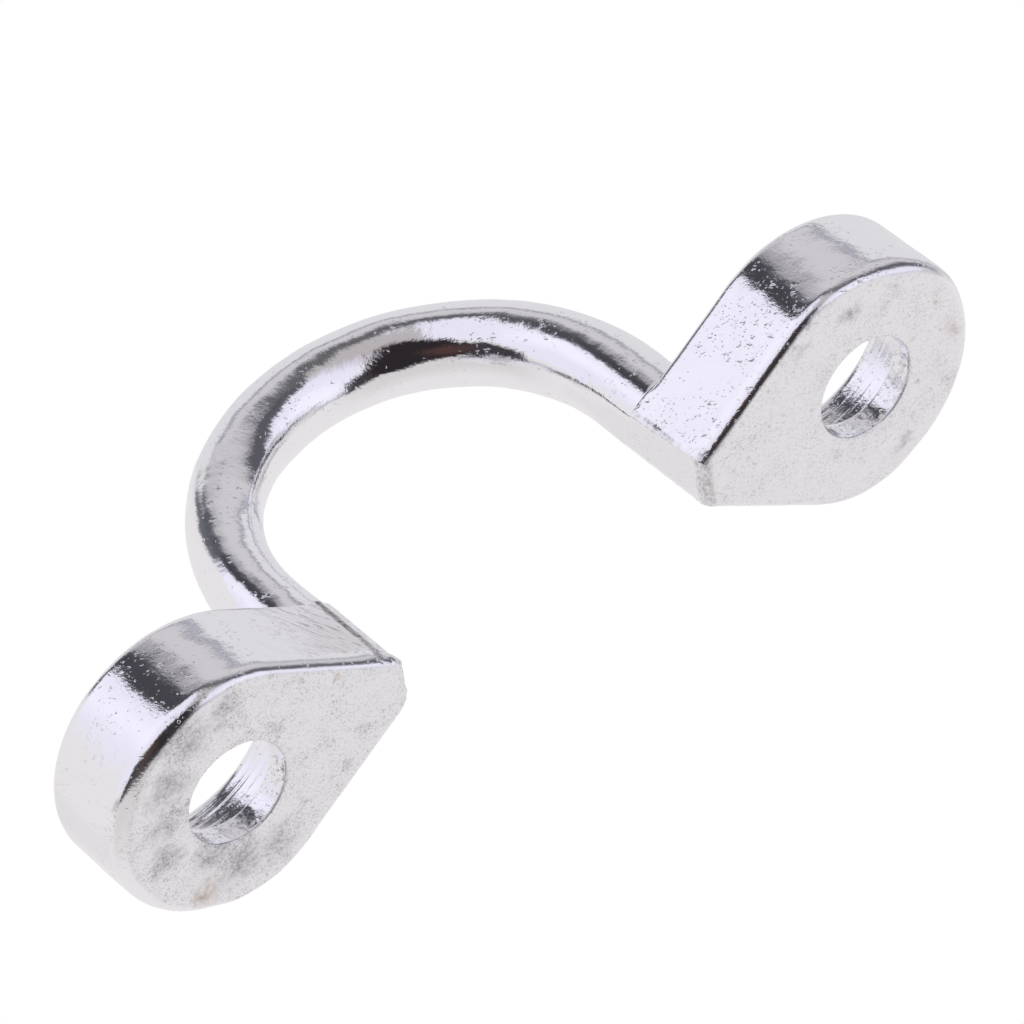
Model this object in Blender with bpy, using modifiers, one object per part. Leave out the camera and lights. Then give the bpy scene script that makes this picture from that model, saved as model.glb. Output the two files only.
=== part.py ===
"""Pad eye, a small piece of boat hardware: a bent rod bow standing on two counterbored lugs.

+X runs from the left lug to the right lug, +Y across the lugs, and +Z up towards the bow.
The origin is the middle of the mounting plane, on which both lugs lie. Lengths are metres.
"""

import math

import bmesh
import bpy

# Lugs
HOLE_SPACING = 0.0445
LUG_WIDTH = 0.0158
LUG_THICKNESS = 0.0064
LUG_EDGE_RADIUS = 0.00045
NOSE_X = 0.0104
NOSE_WIDTH = 0.0037
NOSE_CORNER_RADIUS = 0.0009

# Screw holes
HOLE_DIAMETER = 0.0065
COUNTERBORE_DIAMETER = 0.0124
COUNTERBORE_DEPTH = 0.0048
MOUTH_CHAMFER = 0.0004

# Bow
ROD_DIAMETER = 0.0049
LEG_X = 0.01275
CROWN_HEIGHT = 0.0226

# Joint between the bow and each lug
SPIGOT_DIAMETER = 0.0028
SPIGOT_LENGTH = 0.0032
SPIGOT_CHAMFER = 0.0003
JOINT_GAP = 0.0003

# How finely round shapes are divided
LUG_ARC_STEPS = 44
NOSE_CORNER_STEPS = 4
EDGE_SEGMENTS = 4
HOLE_STEPS = 64
SOCKET_STEPS = 32
BOW_ARC_STEPS = 40
BOW_LEG_STEPS = 3
BOW_BEVEL_RESOLUTION = 10

CUTTER_OVERRUN = 0.002
WELD_DISTANCE = 0.000001
FLAT_ANGLE = math.radians(1.0)
SHARP_ANGLE = math.radians(30.0)


def clear_scene():
    for obj in list(bpy.data.objects):
        bpy.data.objects.remove(obj, do_unlink=True)


def new_collection(name, for_cutters=False):
    collection = bpy.data.collections.new(name)
    collection.hide_render = for_cutters
    bpy.context.scene.collection.children.link(collection)
    return collection


def polished_steel(name, colour, roughness):
    material = bpy.data.materials.new(name)
    material.use_nodes = True
    shader = material.node_tree.nodes["Principled BSDF"]
    shader.inputs["Base Color"].default_value = (*colour, 1.0)
    shader.inputs["Metallic"].default_value = 1.0
    shader.inputs["Roughness"].default_value = roughness
    return material


def arc(centre_x, centre_y, radius, start, end, steps):
    """Points along an arc, both ends included."""
    points = []
    for i in range(steps + 1):
        angle = start + (end - start) * i / steps
        points.append((centre_x + radius * math.cos(angle), centre_y + radius * math.sin(angle)))
    return points


def lug_outline():
    """Teardrop around the screw hole at the origin, with its blunt nose towards +X."""
    radius = LUG_WIDTH / 2
    nose_end = HOLE_SPACING / 2 - NOSE_X
    corner_x = nose_end - NOSE_CORNER_RADIUS
    corner_y = NOSE_WIDTH / 2 - NOSE_CORNER_RADIUS
    # Direction in which the straight flank faces, where it is tangent to both arcs.
    reach = math.hypot(corner_x, corner_y)
    flank = math.atan2(corner_y, corner_x) + math.acos((radius - NOSE_CORNER_RADIUS) / reach)
    outline = arc(0.0, 0.0, radius, flank, 2 * math.pi - flank, LUG_ARC_STEPS)
    outline += arc(corner_x, -corner_y, NOSE_CORNER_RADIUS, -flank, 0.0, NOSE_CORNER_STEPS)
    outline += arc(corner_x, corner_y, NOSE_CORNER_RADIUS, 0.0, flank, NOSE_CORNER_STEPS)
    return outline


def plate_from_outline(name, outline, thickness, collection):
    """A flat 2D curve extruded to a plate that stands on z = 0, turned into a closed mesh."""
    curve = bpy.data.curves.new(name + "_outline", "CURVE")
    curve.dimensions = "2D"
    curve.fill_mode = "BOTH"
    curve.extrude = thickness / 2
    spline = curve.splines.new("POLY")
    spline.points.add(len(outline) - 1)
    for point, (x, y) in zip(spline.points, outline):
        point.co = (x, y, 0.0, 1.0)
    spline.use_cyclic_u = True
    guide = bpy.data.objects.new(name + "_outline", curve)
    collection.objects.link(guide)
    bpy.context.view_layer.update()
    evaluated = guide.evaluated_get(bpy.context.evaluated_depsgraph_get())
    mesh = bpy.data.meshes.new_from_object(evaluated)
    bpy.data.objects.remove(guide, do_unlink=True)

    shape = bmesh.new()
    shape.from_mesh(mesh)
    bmesh.ops.remove_doubles(shape, verts=shape.verts, dist=WELD_DISTANCE)
    bmesh.ops.dissolve_limit(shape, angle_limit=FLAT_ANGLE, verts=shape.verts, edges=shape.edges)
    bmesh.ops.recalc_face_normals(shape, faces=shape.faces)
    bmesh.ops.translate(shape, verts=shape.verts, vec=(0.0, 0.0, thickness / 2))
    shape.to_mesh(mesh)
    shape.free()
    mesh.name = name
    plate = bpy.data.objects.new(name, mesh)
    collection.objects.link(plate)
    return plate


def turned_cutter(name, profile, collection):
    """A solid turned about Z from (radius, height) points that run from its top to its bottom."""
    mesh = bpy.data.meshes.new(name)
    edges = [(i, i + 1) for i in range(len(profile) - 1)]
    mesh.from_pydata([(radius, 0.0, height) for radius, height in profile], edges, [])
    cutter = bpy.data.objects.new(name, mesh)
    collection.objects.link(cutter)
    screw = cutter.modifiers.new("Turn", "SCREW")
    screw.axis = "Z"
    screw.steps = HOLE_STEPS
    screw.render_steps = HOLE_STEPS
    screw.use_merge_vertices = True
    screw.merge_threshold = WELD_DISTANCE
    cutter.hide_render = True
    cutter.display_type = "WIRE"
    return cutter


def screw_hole_cutter(collection):
    """Clearance hole with a counterbore from the upper face that sinks a pan head screw."""
    radius = HOLE_DIAMETER / 2
    bore_radius = COUNTERBORE_DIAMETER / 2
    floor = LUG_THICKNESS - COUNTERBORE_DEPTH
    top = LUG_THICKNESS + CUTTER_OVERRUN
    profile = [
        (0.0, top),
        (bore_radius + MOUTH_CHAMFER + CUTTER_OVERRUN, top),
        (bore_radius, LUG_THICKNESS - MOUTH_CHAMFER),
        (bore_radius, floor),
        (radius, floor),
        (radius, -CUTTER_OVERRUN),
        (0.0, -CUTTER_OVERRUN),
    ]
    return turned_cutter("screw_hole_cutter", profile, collection)


def socket_cutter(collection):
    """Blind socket in a lug's upper face for the spigot at the end of the bow's leg."""
    depth = SPIGOT_LENGTH
    bpy.ops.mesh.primitive_cylinder_add(
        vertices=SOCKET_STEPS,
        radius=SPIGOT_DIAMETER / 2 + JOINT_GAP,
        depth=depth + CUTTER_OVERRUN,
        location=(HOLE_SPACING / 2 - LEG_X, 0.0, LUG_THICKNESS + (CUTTER_OVERRUN - depth) / 2),
    )
    cutter = bpy.context.object
    cutter.name = "socket_cutter"
    for holder in list(cutter.users_collection):
        holder.objects.unlink(cutter)
    collection.objects.link(cutter)
    cutter.hide_render = True
    cutter.display_type = "WIRE"
    return cutter


def cut(obj, cutter):
    boolean = obj.modifiers.new(cutter.name, "BOOLEAN")
    boolean.operation = "DIFFERENCE"
    boolean.solver = "EXACT"
    boolean.object = cutter


def finished_lug_mesh(parts, cutters):
    """One lug about its screw hole, with its nose towards +X, rounded, drilled and socketed."""
    plate = plate_from_outline("lug", lug_outline(), LUG_THICKNESS, parts)
    bevel = plate.modifiers.new("Rounded edges", "BEVEL")
    bevel.width = LUG_EDGE_RADIUS
    bevel.segments = EDGE_SEGMENTS
    bevel.limit_method = "ANGLE"
    bevel.angle_limit = SHARP_ANGLE
    cut(plate, screw_hole_cutter(cutters))
    cut(plate, socket_cutter(cutters))
    bpy.context.view_layer.update()
    evaluated = plate.evaluated_get(bpy.context.evaluated_depsgraph_get())
    mesh = bpy.data.meshes.new_from_object(evaluated)
    bpy.data.objects.remove(plate, do_unlink=True)
    mesh.shade_smooth()
    mesh.set_sharp_from_angle(angle=SHARP_ANGLE)
    return mesh


def place_lug(name, mesh, hole_x, turn, material, origin, parts):
    lug = bpy.data.objects.new(name, mesh)
    lug.location = (hole_x, 0.0, 0.0)
    lug.rotation_euler = (0.0, 0.0, turn)
    lug.parent = origin
    lug.data.materials.clear()
    lug.data.materials.append(material)
    parts.objects.link(lug)
    return lug


def leg_path():
    """Right leg from the spigot's tip upwards, as (x, z, thickness relative to the rod)."""
    slim = SPIGOT_DIAMETER / ROD_DIAMETER
    tip_slim = (SPIGOT_DIAMETER - 2 * SPIGOT_CHAMFER) / ROD_DIAMETER
    shoulder = LUG_THICKNESS + JOINT_GAP
    tip = shoulder - SPIGOT_LENGTH
    spring_line = CROWN_HEIGHT - LEG_X
    path = [(LEG_X, tip, tip_slim), (LEG_X, tip + SPIGOT_CHAMFER, slim)]
    path.append((LEG_X, shoulder - WELD_DISTANCE * 5, slim))
    for i in range(BOW_LEG_STEPS):
        path.append((LEG_X, shoulder + (spring_line - shoulder) * i / BOW_LEG_STEPS, 1.0))
    return path


def bow_path():
    """Up the right leg, over a half circle and down the left leg."""
    leg = leg_path()
    arch = arc(0.0, CROWN_HEIGHT - LEG_X, LEG_X, 0.0, math.pi, BOW_ARC_STEPS)
    other_leg = [(-x, z, thickness) for x, z, thickness in reversed(leg)]
    return leg + [(x, z, 1.0) for x, z in arch] + other_leg


def make_bow(material, origin, parts):
    curve = bpy.data.curves.new("bow", "CURVE")
    curve.dimensions = "3D"
    curve.bevel_depth = ROD_DIAMETER / 2
    curve.bevel_resolution = BOW_BEVEL_RESOLUTION
    curve.use_fill_caps = True
    path = bow_path()
    spline = curve.splines.new("POLY")
    spline.points.add(len(path) - 1)
    for point, (x, z, thickness) in zip(spline.points, path):
        point.co = (x, 0.0, z, 1.0)
        point.radius = thickness
    curve.materials.append(material)
    bow = bpy.data.objects.new("bow", curve)
    bow.parent = origin
    parts.objects.link(bow)
    return bow


def main():
    clear_scene()
    parts = new_collection("pad_eye")
    cutters = new_collection("pad_eye_cutters", for_cutters=True)
    origin = bpy.data.objects.new("pad_eye_origin", None)
    parts.objects.link(origin)

    bow_steel = polished_steel("bow_steel", (0.80, 0.79, 0.78), 0.14)
    left_steel = polished_steel("left_lug_steel", (0.78, 0.77, 0.77), 0.22)
    right_steel = polished_steel("right_lug_steel", (0.80, 0.78, 0.77), 0.22)

    make_bow(bow_steel, origin, parts)
    left_mesh = finished_lug_mesh(parts, cutters)
    right_mesh = left_mesh.copy()
    place_lug("left_lug", left_mesh, -HOLE_SPACING / 2, 0.0, left_steel, origin, parts)
    place_lug("right_lug", right_mesh, HOLE_SPACING / 2, math.pi, right_steel, origin, parts)


main()
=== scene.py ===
import math

import bpy
import numpy as np
from mathutils import Matrix, Vector


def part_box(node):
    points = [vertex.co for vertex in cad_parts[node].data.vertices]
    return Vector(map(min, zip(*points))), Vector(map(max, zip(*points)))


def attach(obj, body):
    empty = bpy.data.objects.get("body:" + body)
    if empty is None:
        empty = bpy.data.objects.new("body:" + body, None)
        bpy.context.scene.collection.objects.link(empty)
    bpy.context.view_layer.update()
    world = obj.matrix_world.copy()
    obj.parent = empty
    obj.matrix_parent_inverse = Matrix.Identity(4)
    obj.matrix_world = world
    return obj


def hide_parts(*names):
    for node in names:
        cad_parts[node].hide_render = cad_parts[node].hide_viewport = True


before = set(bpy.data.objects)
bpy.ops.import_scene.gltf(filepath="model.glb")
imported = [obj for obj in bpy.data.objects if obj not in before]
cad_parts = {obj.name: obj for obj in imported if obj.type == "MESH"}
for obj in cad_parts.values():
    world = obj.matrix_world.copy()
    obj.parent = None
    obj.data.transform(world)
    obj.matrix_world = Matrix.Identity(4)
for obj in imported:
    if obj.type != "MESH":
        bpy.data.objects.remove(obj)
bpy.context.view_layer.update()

MM = 0.001

# ---------------------------------------------------------------- sizes read from the frame
LUG_LOW, LUG_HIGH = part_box("right_lug")
BOW_LOW, BOW_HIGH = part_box("bow")
THICKNESS = LUG_HIGH.z
LUG_RADIUS = (LUG_HIGH.y - LUG_LOW.y) / 2
HOLE_X = LUG_HIGH.x - LUG_RADIUS
NOSE_X = LUG_LOW.x
ROD_RADIUS = (BOW_HIGH.y - BOW_LOW.y) / 2
LEG_X = BOW_HIGH.x - ROD_RADIUS
CROWN_Z = BOW_HIGH.z - ROD_RADIUS
SPRING_Z = CROWN_Z - LEG_X

# ---------------------------------------------------------------- details that the frame doesn't hold
HOLE_RADIUS = 3.25 * MM
STRAIGHT_HOLE = 1.62 * MM
RECESS_RADIUS = 6.2 * MM
MOUTH_BEND = 0.6 * MM
FOOT_DEPTH = 0.35 * MM
# How much the rod narrows inside the lug, so that it stays clear of the lug's walls.
FOOT_NARROWING = 0.3 * MM
# Rounding of a lug's lower edge: along its sides, what it gains at the round end, and what it loses between.
SIDE_EDGE = 0.80 * MM
END_EDGE_GAIN = 0.18 * MM
WAIST_EDGE_LOSS = 0.24 * MM
# Distance between the circular tool marks in the counterbore.
GROOVE_PITCH = 0.46 * MM

# Each lug's own shape. near and far are the corners of its nose, at -Y and at +Y: half width of the nose on
# that side, and rounding radius. flare is how far the flank leans out at the nose. draft is how much further
# out the flank at -Y is at the mounting face than at the top. groove is the depth of the tool marks in the
# counterbore. flank_edge is the rounding of the lower edge along the flanks. A cut is a facet ground on the
# nose above the mounting face: direction of its normal, and distance from the hole's axis.
LEFT_SHAPE = dict(
    near=(2.55 * MM, 1.8 * MM),
    far=(2.30 * MM, 1.6 * MM),
    flare=0.11 * MM,
    draft=0.0,
    groove=0.035 * MM,
    flank_edge=0.70 * MM,
    cuts=[(math.radians(-43.0), 9.54 * MM), (math.radians(-29.0), 10.80 * MM)],
)
RIGHT_SHAPE = dict(
    near=(1.80 * MM, 0.50 * MM),
    far=(2.15 * MM, 1.3 * MM),
    flare=0.0,
    draft=0.45 * MM,
    groove=0.018 * MM,
    flank_edge=0.58 * MM,
    cuts=[],
)
# Rod radius at distances along the bow, from the right lug's upper face to the left one's.
ROD_STATIONS = np.array([0.0, 8.0, 17.0, 28.0, 34.0, 40.0, 47.0]) * MM
ROD_RADII = np.array([2.64, 2.56, 2.43, 2.33, 2.19, 2.24, 2.36]) * MM

STEEL_COLOUR = (0.93, 0.928, 0.94)
FILED_COLOUR = (0.99, 0.985, 0.985)
DIRT_COLOUR = (0.29, 0.28, 0.28)
RUST_COLOUR = (0.50, 0.40, 0.31)
BOW_PITTING = 0.50
# Each lug's own look. side is the sign of its x. filed puts file marks on its flanks. stained, pitting and
# edge_dirt go from 0 to 1. The rough upright edges of the nose and the stains on the mounting face are given
# as x and y in millimetres, radius and strength.
LEFT_LOOK = dict(
    side=-1.0,
    filed=True,
    stained=1.0,
    pitting=0.70,
    edge_dirt=0.1,
    rough_edges=[(-11.66, -2.60, 0.48, 1.9)],
    grey_stains=[
        (-26.3, -3.4, 2.3, 0.9), (-24.5, -5.7, 2.1, 0.8), (-21.9, -6.2, 1.4, 0.9), (-27.2, -0.8, 1.8, 0.7),
        (-27.4, 1.4, 1.5, 1.0), (-24.4, 3.0, 2.0, 0.9), (-23.0, 4.7, 2.4, 1.0), (-20.6, 5.2, 2.0, 0.7),
    ],
    brown_stains=[(-25.4, 5.5, 1.3, 0.8), (-14.9, -3.5, 0.6, 0.8), (-13.9, -4.2, 0.3, 0.5)],
)
RIGHT_LOOK = dict(
    side=1.0,
    filed=False,
    stained=0.4,
    pitting=0.85,
    edge_dirt=0.5,
    rough_edges=[(10.60, -1.90, 0.26, 0.7)],
    grey_stains=[
        (21.75, -6.0, 1.0, 0.8), (18.8, -7.1, 0.6, 0.9), (24.5, 5.6, 1.0, 0.7), (18.2, -5.6, 0.8, 0.6),
        (25.9, 2.0, 0.3, 0.9),
    ],
    brown_stains=[(28.8, -0.4, 0.8, 0.6), (27.6, -2.6, 0.4, 0.6)],
)


# ---------------------------------------------------------------- arithmetic on arrays of points
def smoothstep(low, high, value):
    """0 at low, 1 at high, and a smooth step between, whichever of them is larger."""
    share = np.clip((np.asarray(value) - low) / (high - low), 0.0, 1.0)
    return share * share * (3.0 - 2.0 * share)


def unit(vectors):
    """The vectors, each of them one long."""
    return vectors / np.maximum(np.linalg.norm(vectors, axis=-1, keepdims=True), 1e-12)


def waves(points, seed, wavelength, amplitude, count=28):
    """Smooth random relief: a sum of sine waves in seeded directions, at each point."""
    rng = np.random.default_rng(seed)
    directions = unit(rng.normal(size=(count, 3)))
    lengths = wavelength * rng.uniform(0.7, 1.5, size=(count, 1))
    phases = rng.uniform(0.0, 2.0 * math.pi, size=count)
    angles = points @ (directions * 2.0 * math.pi / lengths).T + phases
    return amplitude * math.sqrt(2.0 / count) * np.sin(angles).sum(axis=-1)


def grid_normals(grid, closed_rings=True):
    """Normals of a grid of points [ring, around, xyz]; each ring is closed."""
    around = np.roll(grid, -1, axis=1) - np.roll(grid, 1, axis=1)
    if closed_rings:
        across = np.roll(grid, -1, axis=0) - np.roll(grid, 1, axis=0)
    else:
        across = np.gradient(grid, axis=0)
    return unit(np.cross(around, across))


def mesh_from_grid(name, grid, wrap, caps):
    """A mesh of quads from a grid of closed rings, wrapped end to end or closed by two caps."""
    rings, count = grid.shape[:2]
    index = np.arange(rings * count).reshape(rings, count)
    if wrap:
        index = np.vstack([index, index[:1]])
    low, high = index[:-1], index[1:]
    quads = np.stack([low, np.roll(low, -1, axis=1), np.roll(high, -1, axis=1), high], axis=-1)
    faces = quads.reshape(-1, 4).tolist()
    if caps:
        faces.append(index[0, ::-1].tolist())
        faces.append(index[-1].tolist())
    mesh = bpy.data.meshes.new(name)
    mesh.from_pydata(grid.reshape(-1, 3).tolist(), [], faces)
    mesh.update()
    mesh.shade_smooth()
    piece = bpy.data.objects.new(name, mesh)
    bpy.context.scene.collection.objects.link(piece)
    return piece


# ---------------------------------------------------------------- lugs
def lug_outline(count, near_corner, far_corner):
    """Points and outward normals of the teardrop about the screw hole, nose towards +X.

    A corner is (half width of the nose on that side, rounding radius); near is the side at -Y."""
    nose = HOLE_X - NOSE_X
    (near_width, near_radius), (far_width, far_radius) = near_corner, far_corner
    near = np.array([nose - near_radius, near_width - near_radius])
    far = np.array([nose - far_radius, far_width - far_radius])
    near_flank, far_flank = (
        math.atan2(place[1], place[0]) + math.acos((LUG_RADIUS - radius) / math.hypot(*place))
        for place, radius in ((near, near_radius), (far, far_radius))
    )
    arcs = [
        ((0.0, 0.0), LUG_RADIUS, far_flank, 2.0 * math.pi - near_flank),
        ((near[0], -near[1]), near_radius, -near_flank, 0.0),
        ((far[0], far[1]), far_radius, 0.0, far_flank),
    ]
    points = []
    normals = []
    for (x, y), radius, start, end in arcs:
        angles = np.linspace(start, end, 400)
        facing = np.stack([np.cos(angles), np.sin(angles)], axis=1)
        points.append(facing * radius + (x, y))
        normals.append(facing)
    points = np.concatenate(points + [points[0][:1]])
    normals = np.concatenate(normals + [normals[0][:1]])
    travelled = np.r_[0.0, np.cumsum(np.linalg.norm(np.diff(points, axis=0), axis=1))]
    places = np.linspace(0.0, travelled[-1], count, endpoint=False)
    sampled = [np.interp(places, travelled, values) for values in (*points.T, *normals.T)]
    return np.stack(sampled[:2], axis=1), unit(np.stack(sampled[2:], axis=1))


def lug_grid(shape, around=440):
    """Rings from the hole's lower rim, out over the mounting face, up the wall and back down the hole."""
    outline, facing = lug_outline(around, shape["near"], shape["far"])
    # The near flank leans out a little towards the nose.
    towards_nose = np.clip((outline[:, 0] - 7.8 * MM) / (3.2 * MM), 0.0, 1.0) ** 2
    flared = towards_nose * smoothstep(0.0, -1.5 * MM, outline[:, 1])
    outline = outline + facing * (shape["flare"] * flared)[:, None]
    ground = outline.copy()
    for direction, reach in shape["cuts"]:
        normal = np.array([math.cos(direction), math.sin(direction)])
        ground = ground - np.maximum(ground @ normal - reach, 0.0)[:, None] * normal
    towards = unit(outline)
    nose = HOLE_X - NOSE_X
    at_nose = smoothstep(nose - 2.2 * MM, nose - 0.8 * MM, outline[:, 0])
    on_flank = smoothstep(-2.0 * MM, 4.0 * MM, outline[:, 0])
    # The flank that is drafted is the one at +Y of the grid, on the lug that is turned round.
    leaning = on_flank * smoothstep(0.3 * MM, 1.3 * MM, outline[:, 1])
    lean = shape["draft"] * leaning[:, None] * facing[np.argmax(outline[:, 1] + outline[:, 0])]
    to_end = smoothstep(-1.0 * MM, -6.0 * MM, outline[:, 0])
    waist = smoothstep(-3.5 * MM, -1.0 * MM, outline[:, 0]) * smoothstep(4.5 * MM, 1.0 * MM, outline[:, 0])
    low_edge = SIDE_EDGE + (shape["flank_edge"] - SIDE_EDGE) * on_flank
    low_edge = low_edge + END_EDGE_GAIN * to_end - WAIST_EDGE_LOSS * waist
    low_height = low_edge * (1.6 - 0.6 * to_end)
    high_edge = ((0.62 - 0.10 * on_flank) * (1.0 - at_nose) + 0.02 * at_nose) * MM
    rings = []
    kinds = []

    def ring(kind, share, radius, inset, height):
        """share 0 is a circle about the hole, 1 is the outline moved in by inset."""
        inside = towards * np.reshape(radius, (-1, 1))
        tall = np.broadcast_to(height, (around,))
        cut_share = smoothstep(0.3 * MM, 1.1 * MM, tall)[:, None]
        outside = outline + (ground - outline) * cut_share + lean * (1.0 - tall / THICKNESS)[:, None]
        outside[:, 0] = np.minimum(outside[:, 0], nose)
        outside = outside - facing * np.reshape(inset, (-1, 1))
        flat = inside * (1.0 - share) + outside * share
        rings.append(np.column_stack([flat, tall]))
        kinds.append(kind)

    rim = 0.10 * MM
    for turn in np.linspace(0.0, math.pi / 2, 4):
        radius = HOLE_RADIUS + rim * (1.0 - math.cos(turn))
        ring("rim", 0.0, radius, 0.0, rim * (1.0 - math.sin(turn)))
    for share in np.linspace(0.0, 1.0, 42)[1:-1]:
        ring("base", share, HOLE_RADIUS + rim, low_edge, 0.0)
    for turn in np.linspace(0.0, math.pi / 2, 12):
        ring("low_edge", 1.0, 0.0, low_edge * (1.0 - math.sin(turn)), low_height * (1.0 - math.cos(turn)))
    for share in np.linspace(0.0, 1.0, 37)[1:-1]:
        ring("wall", 1.0, 0.0, 0.0, low_height + (THICKNESS - high_edge - low_height) * share)
    for turn in np.linspace(0.0, math.pi / 2, 8):
        height = THICKNESS - high_edge * (1.0 - math.sin(turn))
        ring("high_edge", 1.0, 0.0, high_edge * (1.0 - math.cos(turn)), height)
    mouth = RECESS_RADIUS + MOUTH_BEND
    for share in np.linspace(1.0, 0.0, 8)[1:-1]:
        ring("top", share, mouth, high_edge, THICKNESS)
    for turn in np.linspace(0.0, math.pi / 2, 7):
        height = THICKNESS - MOUTH_BEND * (1.0 - math.cos(turn))
        ring("mouth", 0.0, mouth - MOUTH_BEND * math.sin(turn), 0.0, height)
    corner = 0.25 * MM
    for share in np.linspace(0.0, 1.0, 66)[1:]:
        height = THICKNESS - MOUTH_BEND + (STRAIGHT_HOLE + corner - THICKNESS + MOUTH_BEND) * share
        ring("recess_wall", 0.0, RECESS_RADIUS, 0.0, height)
    for turn in np.linspace(0.0, math.pi / 2, 4)[1:]:
        radius = RECESS_RADIUS - corner * (1.0 - math.cos(turn))
        ring("recess_corner", 0.0, radius, 0.0, STRAIGHT_HOLE + corner * (1.0 - math.sin(turn)))
    edge = 0.08 * MM
    for share in np.linspace(0.0, 1.0, 9)[1:]:
        radius = RECESS_RADIUS - corner + (HOLE_RADIUS + edge - RECESS_RADIUS + corner) * share
        ring("recess_floor", 0.0, radius, 0.0, STRAIGHT_HOLE)
    for turn in np.linspace(0.0, math.pi / 2, 3)[1:]:
        radius = HOLE_RADIUS + edge * (1.0 - math.sin(turn))
        ring("edge", 0.0, radius, 0.0, STRAIGHT_HOLE - edge * (1.0 - math.cos(turn)))
    for share in np.linspace(0.0, 1.0, 16)[1:-1]:
        ring("bore", 0.0, HOLE_RADIUS, 0.0, STRAIGHT_HOLE - edge + (rim + edge - STRAIGHT_HOLE) * share)
    return np.array(rings), np.array(kinds)


def turning_grooves(grid, pitch, depth, seed):
    """Relief of the circular marks that the tool left in the counterbore: grooves, uneven around."""
    height = grid[..., 2] + waves(grid * (1.0, 1.0, 0.15), seed, 6.0 * MM, 0.05 * MM)
    strength = 0.6 + waves(grid * (0.4, 0.4, 2.5), seed + 1, 1.6 * MM, 0.35)
    turns = 2.0 * math.pi * height / pitch
    return -depth * np.clip(strength, 0.1, 1.4) * (np.abs(np.sin(turns / 2.0)) + 0.3 * np.sin(turns * 1.7))


def make_lug(name, side, shape, seed):
    """A lug placed at its hole. The grid's nose is at +X, so the right lug's is turned round."""
    if side > 0:
        shape = dict(shape, near=shape["far"], far=shape["near"])
    grid, kinds = lug_grid(shape)
    turned_wall = (kinds == "recess_wall")[:, None]
    relief = turning_grooves(grid, GROOVE_PITCH, shape["groove"], seed) * turned_wall
    # As cast, the edges and upright corners of the nose stay rough.
    nose = HOLE_X - NOSE_X
    near_nose = smoothstep(nose - 2.5 * MM, nose, grid[..., 0])
    edges = np.isin(kinds, ["low_edge", "high_edge"])[:, None] * near_nose
    corner = smoothstep(nose - 0.8 * MM, nose - 0.2 * MM, grid[..., 0]) * np.isin(kinds, ["wall"])[:, None]
    corner = corner * (1.0 - smoothstep(0.4 * MM, 0.9 * MM, nose - 0.1 * MM - grid[..., 0]))
    corner = corner * smoothstep(1.1 * MM, 1.7 * MM, np.abs(grid[..., 1]))
    rough = waves(grid, seed + 5, 0.45 * MM, 0.020 * MM) + waves(grid, seed + 6, 0.25 * MM, 0.010 * MM)
    relief = relief + rough * np.maximum(edges, 0.5 * corner)
    # The bore is rough inside.
    relief = relief + waves(grid, seed + 7, 0.5 * MM, 0.006 * MM) * (kinds == "bore")[:, None]
    normals = -grid_normals(grid)
    grid = grid + normals * relief[..., None]
    turned = np.array([-side, -side, 1.0])
    grid = grid * turned + (side * HOLE_X, 0.0, 0.0)
    normals = -grid_normals(grid)
    relief = waves(grid, seed, 5.0 * MM, 0.010 * MM) + waves(grid, seed + 1, 1.8 * MM, 0.004 * MM)
    relief = relief + waves(grid, seed + 2, 0.7 * MM, 0.0012 * MM)
    relief = relief * smoothstep(NOSE_X, NOSE_X + 0.6 * MM, np.abs(grid[..., 0]))
    grid = grid + normals * relief[..., None]
    return mesh_from_grid(name, grid[::-1], wrap=True, caps=False)


# ---------------------------------------------------------------- bow
def bow_grid(along=620, around=88):
    """Rings along the rod from inside the right lug's upper face to inside the left one's."""
    leg = SPRING_Z - THICKNESS
    length = 2.0 * leg + math.pi * LEG_X
    travelled = np.linspace(-FOOT_DEPTH, length + FOOT_DEPTH, along)
    turn = np.clip((travelled - leg) / LEG_X, 0.0, math.pi)
    straight = np.minimum(travelled - leg, 0.0) - np.maximum(travelled - (length - leg), 0.0)
    centre = np.stack(
        [LEG_X * np.cos(turn), np.zeros(along), SPRING_Z + LEG_X * np.sin(turn) + straight], axis=1
    )
    outwards = np.stack([np.cos(turn), np.zeros(along), np.sin(turn)], axis=1)
    above_foot = np.minimum(travelled, length - travelled)[:, None]
    angle = np.linspace(0.0, 2.0 * math.pi, around, endpoint=False)
    from_inside = np.abs((angle + math.pi) % (2.0 * math.pi) - math.pi)
    radius = np.interp(travelled, ROD_STATIONS, ROD_RADII)[:, None]
    # Near its foot the rod is pared down to the plane of the lug's nose, and flares out on the other side.
    to_nose = (LEG_X - NOSE_X) / np.maximum(np.cos(from_inside), 1e-3)
    pared = smoothstep(5.0 * MM, 0.5 * MM, above_foot)
    section = radius - np.maximum(radius - to_nose, 0.0) * pared
    root = 0.4 * MM
    flare = 1.0 - np.sqrt(1.0 - (1.0 - np.clip(above_foot / root, 0.0, 1.0)) ** 2)
    section = section + root * flare * smoothstep(math.radians(85.0), math.radians(135.0), from_inside)
    crease = 0.16 * MM
    fillet = 1.0 - np.sqrt(1.0 - (1.0 - np.clip(above_foot / crease, 0.0, 1.0)) ** 2)
    section = section + crease * fillet * smoothstep(math.radians(50.0), math.radians(85.0), from_inside)
    section = section - FOOT_NARROWING * smoothstep(0.0, -0.15 * MM, above_foot)
    across = -np.cos(angle)[None, :, None] * outwards[:, None, :]
    sideways = np.sin(angle)[None, :, None] * np.array([0.0, 1.0, 0.0])
    return centre[:, None, :] + section[..., None] * (across + sideways)


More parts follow.
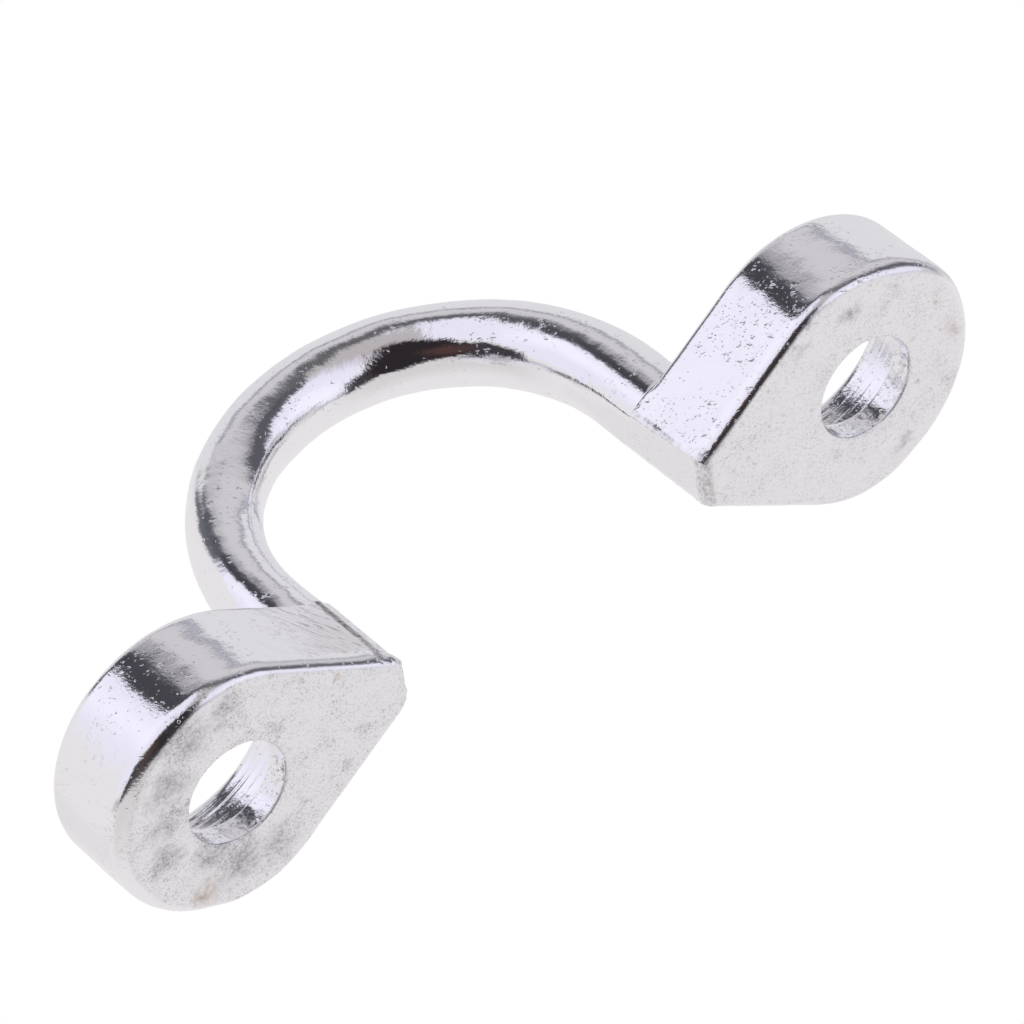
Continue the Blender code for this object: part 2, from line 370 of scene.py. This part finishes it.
def make_bow(name, seed):
    """The bent rod, with the slight waves of a polished casting."""
    grid = bow_grid()
    normals = grid_normals(grid, closed_rings=False)
    relief = waves(grid, seed, 6.0 * MM, 0.018 * MM) + waves(grid, seed + 1, 1.6 * MM, 0.004 * MM)
    relief = relief + waves(grid, seed + 2, 0.6 * MM, 0.0012 * MM)
    relief = relief * smoothstep(THICKNESS, THICKNESS + 2.0 * MM, grid[..., 2])
    grid = grid + normals * relief[..., None]
    return mesh_from_grid(name, grid, wrap=False, caps=True)


# ---------------------------------------------------------------- camera
def make_camera():
    """A long lens that looks at the mounting side from below, rolled over."""
    target = Vector((0.0, -3.2, 3.6)) * MM
    azimuth, elevation, roll = (math.radians(a) for a in (-29.1, -38.1, 51.5))
    distance = 384.0 * MM
    flat = math.cos(elevation)
    back = Vector((math.sin(azimuth) * flat, -math.cos(azimuth) * flat, math.sin(elevation)))
    data = bpy.data.cameras.new("camera")
    data.sensor_width = 36.0
    data.lens = 245.3
    data.clip_start = 0.01
    data.clip_end = 10.0
    camera = bpy.data.objects.new("camera", data)
    bpy.context.scene.collection.objects.link(camera)
    camera.rotation_mode = "QUATERNION"
    upright = (-back).to_track_quat("-Z", "Y").to_matrix()
    camera.rotation_quaternion = (upright @ Matrix.Rotation(-roll, 3, "Z")).to_quaternion()
    camera.location = target + back * distance
    bpy.context.scene.camera = camera


# ---------------------------------------------------------------- studio light
# The studio is drawn on a flat, equal-area map of directions. Its middle is the direction of the camera's
# place, x is to the camera's right, y is up, and the rim, at 2, is the direction behind the object.
BACKDROP = (0.835, 0.81, 0.825)
SOFTBOX = (0.85, 0.835, 0.96)
BRIGHT = (0.97, 0.95, 1.08)
DARK_WALL = (0.055, 0.055, 0.065)

# The seam where the grey wall meets the ceiling, from left to right.
SEAM = [(-0.98, 1.40), (-0.45, 1.585), (0.10, 1.645), (0.56, 1.545), (1.24, 1.21), (1.74, 0.88)]


def strip(points, width):
    """Convex corners of a thin strip along each stretch of a line that runs to the right."""
    strips = []
    half = width / 2
    for (x0, y0), (x1, y1) in zip(points, points[1:]):
        strips.append([(x0, y0 - half), (x1, y1 - half), (x1, y1 + half), (x0, y0 + half)])
    return strips


# Convex panels, one over the other: name, softness of the edge, colour, strength, corners anticlockwise.
STUDIO = [
    ("cool ceiling", 0.50, (0.745, 0.735, 0.765), 0.9,
     [(-2.10, 0.90), (2.10, 0.60), (2.10, 2.10), (-2.10, 2.10)]),
    ("grey wall", 0.05, (0.64, 0.62, 0.65), 1.0, [(-1.32, 0.85), (1.60, 0.40)] + SEAM[::-1]),
    *(("seam", 0.03, (0.34, 0.33, 0.39), 1.0, corners) for corners in strip(SEAM, 0.055)),
    ("haze round the dark wall", 0.26, (0.35, 0.34, 0.37), 0.85,
     [(-1.36, 0.75), (1.65, 0.40), (1.60, 0.62), (1.30, 0.93), (0.90, 1.18), (0.45, 1.31), (0.10, 1.36),
      (-0.25, 1.42), (-0.75, 1.36), (-1.10, 1.23), (-1.32, 0.98)]),
    ("dark wall, left tip", 0.12, (0.10, 0.10, 0.12), 0.9,
     [(-1.52, 0.94), (-1.25, 0.78), (-1.02, 0.97), (-1.06, 1.10), (-1.25, 1.12), (-1.48, 1.04)]),
    ("dark wall, left end", 0.10, (0.09, 0.09, 0.11), 0.92,
     [(-1.20, 1.08), (-1.02, 0.97), (-0.70, 0.97), (-0.60, 1.24), (-1.03, 1.26)]),
    ("dark wall, left arm", 0.12, DARK_WALL, 0.95,
     [(-1.04, 0.98), (-0.60, 0.70), (-0.25, 1.00), (-0.22, 1.30), (-0.45, 1.25), (-0.88, 1.20)]),
    ("dark wall, middle", 0.12, (0.10, 0.10, 0.11), 0.90,
     [(-0.50, 0.90), (0.45, 0.80), (0.50, 1.08), (0.10, 1.25), (-0.25, 1.38), (-0.42, 1.30)]),
    ("dark wall, right arm", 0.16, (0.085, 0.082, 0.10), 0.93,
     [(0.30, 0.85), (1.10, 0.60), (1.55, 0.50), (1.62, 0.64), (1.38, 0.90), (1.05, 1.06), (0.45, 1.14)]),
    ("left soft box, outer half", 0.06, SOFTBOX, 1.0,
     [(-1.42, -0.20), (-0.95, -0.26), (-0.62, 0.00), (-0.66, 0.78), (-0.80, 0.94), (-1.05, 0.97),
      (-1.28, 0.75)]),
    ("left soft box, inner half", 0.06, SOFTBOX, 1.0,
     [(-0.95, -0.25), (-0.08, 0.32), (-0.12, 1.00), (-0.27, 1.20), (-0.66, 0.78)]),
    ("hot spot of the left soft box", 0.40, BRIGHT, 0.9,
     [(-1.25, 0.40), (-0.60, 0.20), (-0.55, 0.75), (-0.95, 0.86), (-1.20, 0.80)]),
    ("frame of the right soft box", 0.06, (0.42, 0.41, 0.44), 0.9,
     [(0.60, -0.30), (1.00, -0.60), (1.32, -0.30), (1.58, 0.05), (1.74, 0.52), (1.20, 0.60)]),
    ("right soft box", 0.12, SOFTBOX, 1.0,
     [(0.34, 0.40), (0.64, -0.20), (1.00, -0.50), (1.24, -0.25), (1.49, 0.05), (1.59, 0.42), (1.23, 0.62),
      (0.92, 0.76), (0.60, 0.82), (0.34, 0.84)]),
    ("hot spot of the right soft box", 0.35, BRIGHT, 0.9,
     [(0.72, -0.15), (1.00, -0.42), (1.25, -0.10), (1.15, 0.50), (0.75, 0.50)]),
    ("gap between the soft boxes", 0.08, (0.50, 0.47, 0.48), 1.0,
     [(-0.11, 0.30), (0.32, 0.30), (0.34, 0.96), (0.00, 1.08), (-0.16, 1.17)]),
    ("cool edge of the gap", 0.12, (0.64, 0.60, 0.69), 0.9,
     [(0.28, 0.10), (0.46, 0.10), (0.42, 0.85), (0.30, 0.88)]),
    ("shade below the dark figure", 0.70, (0.60, 0.58, 0.58), 0.6,
     [(-0.95, -1.25), (0.95, -1.25), (0.95, -0.50), (-0.95, -0.50)]),
    ("shade left of the dark figure", 0.10, (0.42, 0.40, 0.42), 0.8,
     [(-1.45, -0.42), (-0.92, -0.68), (-0.90, -0.50), (-1.25, -0.36)]),
    ("bright floor beyond the noses", 0.30, (0.78, 0.765, 0.775), 1.0,
     [(-1.72, -1.20), (-1.36, -1.25), (-1.36, -0.80), (-1.72, -0.75)]),
    ("dark figure, left side", 0.08, (0.05, 0.045, 0.055), 1.0,
     [(-0.95, -0.60), (-0.30, -0.58), (-0.30, 0.05), (-0.70, -0.13), (-0.85, -0.30)]),
    ("dark figure, right side", 0.08, (0.06, 0.05, 0.06), 1.0,
     [(0.50, -0.62), (0.95, -0.68), (0.98, -0.60), (0.78, -0.28), (0.50, -0.10)]),
    ("dark figure, middle", 0.07, (0.026, 0.021, 0.025), 1.0,
     [(-0.35, -0.54), (0.05, -0.66), (0.40, -0.72), (0.64, -0.62), (0.60, -0.20), (0.16, 0.55), (-0.02, 0.48),
      (-0.36, 0.00)]),
    ("brown patch on the figure", 0.20, (0.10, 0.055, 0.048), 0.75,
     [(-0.38, -0.42), (0.00, -0.45), (0.05, -0.12), (-0.12, -0.02), (-0.36, -0.12)]),
]


def link_or_set(tree, socket, value):
    """Connects a socket's output, or sets a plain value."""
    if isinstance(value, bpy.types.NodeSocket):
        tree.links.new(value, socket)
    else:
        socket.default_value = value


def calculate(tree, operation, *values):
    """The output of a math node; each value is a number or a socket."""
    node = tree.nodes.new("ShaderNodeMath")
    node.operation = operation
    for socket, value in zip(node.inputs, values):
        link_or_set(tree, socket, value)
    return node.outputs[0]


def dot(tree, vector, constant):
    """The dot product of a vector socket and a constant."""
    node = tree.nodes.new("ShaderNodeVectorMath")
    node.operation = "DOT_PRODUCT"
    tree.links.new(vector, node.inputs[0])
    node.inputs[1].default_value = constant
    return node.outputs["Value"]


def ramp(tree, value, start, end, low=0.0, high=1.0):
    """Runs smoothly from low to high as value goes from start to end."""
    node = tree.nodes.new("ShaderNodeMapRange")
    node.interpolation_type = "SMOOTHSTEP"
    for socket, number in zip(node.inputs[1:5], (start, end, low, high)):
        socket.default_value = number
    tree.links.new(value, node.inputs["Value"])
    return node.outputs["Result"]


def paint(tree, under, over, share):
    """The colour under, covered by the colour over as far as share says."""
    node = tree.nodes.new("ShaderNodeMix")
    node.data_type = "RGBA"
    link_or_set(tree, node.inputs["Factor"], share)
    for socket, colour in ((node.inputs["A"], under), (node.inputs["B"], over)):
        link_or_set(tree, socket, colour if isinstance(colour, bpy.types.NodeSocket) else (*colour, 1.0))
    return node.outputs["Result"]


def panel(tree, place, corners, softness):
    """1 inside the convex polygon of corners, listed anticlockwise, and 0 outside, with soft edges."""
    share = 1.0
    for (x0, y0), (x1, y1) in zip(corners, corners[1:] + corners[:1]):
        length = math.hypot(x1 - x0, y1 - y0)
        inwards = ((y0 - y1) / length, (x1 - x0) / length)
        distance = dot(tree, place, (*inwards, -(x0 * inwards[0] + y0 * inwards[1])))
        share = calculate(tree, "MULTIPLY", share, ramp(tree, distance, -softness / 2, softness / 2))
    return share


def make_world():
    """Soft boxes, gaps and a dark figure behind the camera, as the object reflects them, on plain white."""
    world = bpy.data.worlds.new("studio")
    world.use_nodes = True
    tree = world.node_tree
    background = tree.nodes["Background"]
    direction = tree.nodes.new("ShaderNodeTexCoord").outputs["Generated"]
    turned = bpy.context.scene.camera.rotation_quaternion.to_matrix()
    right, up, back = (dot(tree, direction, turned.col[i]) for i in range(3))
    stretch = calculate(tree, "SQRT", calculate(tree, "DIVIDE", 2.0, calculate(tree, "ADD", 1.0001, back)))
    place = tree.nodes.new("ShaderNodeCombineXYZ")
    tree.links.new(calculate(tree, "MULTIPLY", right, stretch), place.inputs["X"])
    tree.links.new(calculate(tree, "MULTIPLY", up, stretch), place.inputs["Y"])
    place.inputs["Z"].default_value = 1.0
    colour = BACKDROP
    for _, softness, shade, strength, corners in STUDIO:
        share = panel(tree, place.outputs[0], corners, softness)
        colour = paint(tree, colour, shade, calculate(tree, "MULTIPLY", share, strength))
    seen = tree.nodes.new("ShaderNodeLightPath").outputs["Is Camera Ray"]
    tree.links.new(paint(tree, colour, (1.0, 1.0, 1.0), seen), background.inputs["Color"])
    bpy.context.scene.world = world


def make_floor():
    """A plain pale floor under the mounting plane. The camera is below it, so only its top is drawn."""
    bpy.ops.mesh.primitive_plane_add(size=3.0, location=(0.0, 0.0, -0.1 * MM))
    floor = bpy.context.object
    floor.name = "floor"
    material = bpy.data.materials.new("floor_paint")
    material.use_nodes = True
    tree = material.node_tree
    output = tree.nodes["Material Output"]
    tree.nodes.remove(tree.nodes["Principled BSDF"])
    top = tree.nodes.new("ShaderNodeBsdfDiffuse")
    top.inputs["Color"].default_value = (0.93, 0.93, 0.93, 1.0)
    underside = tree.nodes.new("ShaderNodeBsdfTransparent")
    choice = tree.nodes.new("ShaderNodeMixShader")
    tree.links.new(tree.nodes.new("ShaderNodeNewGeometry").outputs["Backfacing"], choice.inputs[0])
    tree.links.new(top.outputs[0], choice.inputs[1])
    tree.links.new(underside.outputs[0], choice.inputs[2])
    tree.links.new(choice.outputs[0], output.inputs["Surface"])
    floor.data.materials.append(material)
    floor.visible_glossy = False
    floor.visible_diffuse = False
    floor.visible_transmission = False
    floor.visible_shadow = False


# ---------------------------------------------------------------- metal
def noise(tree, place, scale, detail=2.0, roughness=0.5):
    """Smooth noise about 0.5; scale is in features per millimetre."""
    node = tree.nodes.new("ShaderNodeTexNoise")
    tree.links.new(place, node.inputs["Vector"])
    for name, value in (("Scale", scale), ("Detail", detail), ("Roughness", roughness)):
        node.inputs[name].default_value = value
    return node.outputs["Fac"]


def stretched(tree, place, direction, factor):
    """The place squeezed along a direction, so that a texture on it is drawn out that way."""
    node = tree.nodes.new("ShaderNodeVectorMath")
    node.operation = "MULTIPLY_ADD"
    along = dot(tree, place, direction)
    spread = tree.nodes.new("ShaderNodeVectorMath")
    spread.operation = "SCALE"
    spread.inputs[0].default_value = tuple(d * (factor - 1.0) for d in direction)
    tree.links.new(along, spread.inputs["Scale"])
    tree.links.new(spread.outputs[0], node.inputs[0])
    node.inputs[1].default_value = (1.0, 1.0, 1.0)
    tree.links.new(place, node.inputs[2])
    return node.outputs[0]


def add_up(tree, *terms):
    """The sum of (socket, factor) pairs."""
    total = 0.0
    for socket, factor in terms:
        total = calculate(tree, "MULTIPLY_ADD", socket, factor, total)
    return total


def product(tree, *sockets):
    """The product of sockets and numbers; the first may be either."""
    total = sockets[0]
    for socket in sockets[1:]:
        total = calculate(tree, "MULTIPLY", total, socket)
    return total


def shaded(colour, factor):
    """The colour made darker by a factor."""
    return tuple(channel * factor for channel in colour)


def new_metal(name):
    """A metal material, with the place on the object in millimetres."""
    material = bpy.data.materials.new(name)
    material.use_nodes = True
    tree = material.node_tree
    shader = tree.nodes["Principled BSDF"]
    shader.inputs["Metallic"].default_value = 1.0
    scaled = tree.nodes.new("ShaderNodeVectorMath")
    scaled.operation = "SCALE"
    tree.links.new(tree.nodes.new("ShaderNodeTexCoord").outputs["Object"], scaled.inputs[0])
    scaled.inputs["Scale"].default_value = 1000.0
    return material, tree, shader, scaled.outputs[0]


def shifted(tree, place, scale, amount):
    """The place moved about at random, so that a texture on it gets ragged outlines."""
    wander = tree.nodes.new("ShaderNodeTexNoise")
    tree.links.new(place, wander.inputs["Vector"])
    wander.inputs["Scale"].default_value = scale
    centred = tree.nodes.new("ShaderNodeVectorMath")
    centred.operation = "SUBTRACT"
    tree.links.new(wander.outputs["Color"], centred.inputs[0])
    centred.inputs[1].default_value = (0.5, 0.5, 0.5)
    moved = tree.nodes.new("ShaderNodeVectorMath")
    moved.operation = "MULTIPLY_ADD"
    tree.links.new(centred.outputs[0], moved.inputs[0])
    moved.inputs[1].default_value = (amount, amount, amount)
    tree.links.new(place, moved.inputs[2])
    return moved.outputs[0]


def craters(tree, place, scale, radius, patches):
    """1 in the middle of round dents, at random places that are denser where patches is high."""
    cells = tree.nodes.new("ShaderNodeTexVoronoi")
    tree.links.new(place, cells.inputs["Vector"])
    cells.inputs["Scale"].default_value = scale
    chance = tree.nodes.new("ShaderNodeSeparateColor")
    tree.links.new(cells.outputs["Color"], chance.inputs[0])
    kept = ramp(tree, calculate(tree, "ADD", chance.outputs[0], patches), 1.10, 1.35)
    return product(tree, ramp(tree, cells.outputs["Distance"], radius, radius * 0.2), kept)


def cast_surface(tree, place, pitting):
    """Polished casting: (relief in micrometres, share of pits), with dents and fine pits in patches."""
    drawn = shifted(tree, stretched(tree, place, (0.78, 0.12, -0.62), 0.62), 3.5, 0.5)
    patches = ramp(tree, noise(tree, place, 0.40, 3.0, 0.6), 0.40, 0.60, 0.12, pitting)
    dents = craters(tree, drawn, 1.9, 0.32, patches)
    pits = craters(tree, drawn, 5.0, 0.38, patches)
    nibs = ramp(tree, noise(tree, place, 3.0, 1.0), 0.72, 0.80)
    grain = noise(tree, place, 5.0, 3.0, 0.6)
    peel = noise(tree, place, 0.8, 1.0)
    height = add_up(tree, (grain, 9.0), (peel, 15.0), (pits, -10.0), (dents, -22.0), (nibs, 12.0))
    return height, calculate(tree, "MAXIMUM", pits, product(tree, dents, 0.6))


def finish_metal(tree, shader, height, roughness, tone):
    """Connects relief in micrometres, roughness and colour to the shader."""
    bump = tree.nodes.new("ShaderNodeBump")
    bump.inputs["Strength"].default_value = 1.0
    bump.inputs["Distance"].default_value = 0.001 * MM
    tree.links.new(height, bump.inputs["Height"])
    tree.links.new(bump.outputs[0], shader.inputs["Normal"])
    tree.links.new(roughness, shader.inputs["Roughness"])
    tree.links.new(tone, shader.inputs["Base Color"])


def bow_steel(name):
    """Polished cast stainless steel."""
    material, tree, shader, place = new_metal(name)
    height, pits = cast_surface(tree, place, BOW_PITTING)
    roughness = add_up(tree, (noise(tree, place, 0.9, 3.0), 0.12), (pits, 0.15))
    tone = paint(tree, STEEL_COLOUR, shaded(STEEL_COLOUR, 0.6), product(tree, pits, 0.45))
    finish_metal(tree, shader, height, roughness, tone)
    return material


def spots(tree, place, stains):
    """Soft round columns along Z, each given as x and y in millimetres, radius and strength."""
    flat = tree.nodes.new("ShaderNodeVectorMath")
    flat.operation = "MULTIPLY"
    tree.links.new(place, flat.inputs[0])
    flat.inputs[1].default_value = (1.0, 1.0, 0.0)
    total = 0.0
    for x, y, radius, strength in stains:
        away = tree.nodes.new("ShaderNodeVectorMath")
        away.operation = "DISTANCE"
        tree.links.new(flat.outputs[0], away.inputs[0])
        away.inputs[1].default_value = (x, y, 0.0)
        spot = ramp(tree, away.outputs["Value"], radius, 0.0, 0.0, strength)
        total = calculate(tree, "MAXIMUM", total, spot)
    return total


def lug_steel(name, look):
    """The bow's steel with a satin, stained and speckled mounting face, and a rough bore and nose edge."""
    material, tree, shader, place = new_metal(name)
    height, pits = cast_surface(tree, place, look["pitting"])

    recess = RECESS_RADIUS / MM
    hole_radius = HOLE_RADIUS / MM
    step = STRAIGHT_HOLE / MM
    nose = NOSE_X / MM
    split = tree.nodes.new("ShaderNodeSeparateXYZ")
    tree.links.new(place, split.inputs[0])
    outwards = calculate(tree, "MULTIPLY", split.outputs["X"], look["side"])
    across = split.outputs["Y"]
    upwards = split.outputs["Z"]
    from_axis = calculate(tree, "SUBTRACT", outwards, HOLE_X / MM)
    from_axis = calculate(tree, "ADD", product(tree, from_axis, from_axis), product(tree, across, across))
    from_axis = calculate(tree, "SQRT", from_axis)
    face = ramp(tree, upwards, 0.12, 0.02)
    above_face = ramp(tree, upwards, 0.05, 0.20)
    hole = ramp(tree, from_axis, recess + 0.2, recess + 0.05)
    inside_hole = product(tree, hole, above_face)
    in_bore = ramp(tree, from_axis, hole_radius + 0.35, hole_radius + 0.10)
    bore = product(tree, in_bore, ramp(tree, upwards, step + 0.08, step - 0.12))
    low_edge = product(tree, ramp(tree, upwards, 1.1, 0.2), ramp(tree, inside_hole, 0.0, 1.0, 1.0, 0.0))
    nose_edge = product(tree, ramp(tree, outwards, nose + 0.9, nose + 0.5), ramp(tree, upwards, 0.8, 0.5))
    nose_edge = product(tree, nose_edge, look["edge_dirt"])

    uneven = noise(tree, place, 0.9, 3.0)
    roughness = add_up(tree, (uneven, 0.12), (pits, 0.15), (low_edge, 0.12), (bore, 0.05))
    tone = paint(tree, STEEL_COLOUR, shaded(STEEL_COLOUR, 0.6), product(tree, pits, 0.45))

    # File marks on the flank.
    if look["filed"]:
        flank = product(tree, ramp(tree, outwards, 17.0, 13.6), ramp(tree, upwards, 0.75, 1.15))
        marks = noise(tree, stretched(tree, place, (0.52, 0.34, -0.79), 0.16), 5.5, 2.0, 0.6)
        marks = product(tree, ramp(tree, marks, 0.55, 0.66), flank)
        height = add_up(tree, (marks, -14.0), (height, 1.0))
        tone = paint(tree, tone, FILED_COLOUR, product(tree, flank, 0.75))
        tone = paint(tree, tone, shaded(STEEL_COLOUR, 0.40), product(tree, marks, 0.6))
        roughness = add_up(tree, (flank, 0.22), (roughness, 1.0))

    # Fine tool marks in the hole, and rough casting along the edges of the nose.
    fine = noise(tree, place, 4.5, 3.0, 0.65)
    rough_lines = spots(tree, place, look["rough_edges"])
    rough_lines = product(tree, rough_lines, ramp(tree, upwards, 0.5, 3.5, 0.5, 1.0))
    raw = calculate(tree, "MAXIMUM", nose_edge, rough_lines)
    tool_marks = product(tree, fine, inside_hole)
    rough_casting = product(tree, fine, raw)
    height = add_up(tree, (tool_marks, 16.0), (rough_casting, 40.0), (height, 1.0))
    dirt = product(tree, ramp(tree, noise(tree, place, 4.5, 3.0, 0.7), 0.42, 0.60, 0.25, 1.0), raw)
    specks_in_bore = product(tree, ramp(tree, noise(tree, place, 5.0, 2.0, 0.7), 0.60, 0.70), bore)
    tone = paint(tree, tone, DIRT_COLOUR, calculate(tree, "MAXIMUM", dirt, specks_in_bore))
    roughness = add_up(tree, (raw, 0.15), (roughness, 1.0))

    # The mounting face: clouds of fine specks, grey smudges and a few brown marks.
    ragged = shifted(tree, place, 0.9, 2.4)
    cloud = noise(tree, place, 0.45, 4.0, 0.62)
    fine_specks = ramp(tree, noise(tree, place, 8.0, 2.0, 0.75), 0.53, 0.64)
    coarse_specks = ramp(tree, noise(tree, place, 4.2, 3.0, 0.7), 0.56, 0.64)
    specks = calculate(tree, "MAXIMUM", fine_specks, coarse_specks)
    specks = product(tree, specks, ramp(tree, cloud, 0.36, 0.60, 0.40, 1.0))
    broken = ramp(tree, noise(tree, place, 2.6, 4.0, 0.8), 0.40, 0.60, 0.40, 1.0)
    clouds = product(tree, ramp(tree, cloud, 0.56, 0.78), look["stained"])
    smudge = calculate(tree, "MAXIMUM", spots(tree, ragged, look["grey_stains"]), clouds)
    smudge = product(tree, smudge, broken)
    rust = product(tree, spots(tree, ragged, look["brown_stains"]), broken)
    grey = product(tree, face, add_up(tree, (specks, 0.26 + 0.30 * look["stained"]), (smudge, 0.95)))
    tone = paint(tree, tone, shaded(STEEL_COLOUR, 0.42), grey)
    tone = paint(tree, tone, RUST_COLOUR, product(tree, face, rust))
    roughness = add_up(tree, (face, 0.16), (roughness, 1.0))
    finish_metal(tree, shader, height, roughness, tone)
    return material


def main():
    make_camera()
    make_world()
    make_floor()
    bpy.context.scene.view_settings.view_transform = "Standard"
    left_lug = make_lug("left_lug_body", -1, LEFT_SHAPE, 11)
    right_lug = make_lug("right_lug_body", 1, RIGHT_SHAPE, 21)
    bow = make_bow("bow_rod", 3)
    left_lug.data.materials.append(lug_steel("left_lug_steel", LEFT_LOOK))
    right_lug.data.materials.append(lug_steel("right_lug_steel", RIGHT_LOOK))
    bow.data.materials.append(bow_steel("bow_steel"))
    for piece, node in ((left_lug, "left_lug"), (right_lug, "right_lug"), (bow, "bow")):
        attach(piece, "root")
        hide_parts(node)


main()
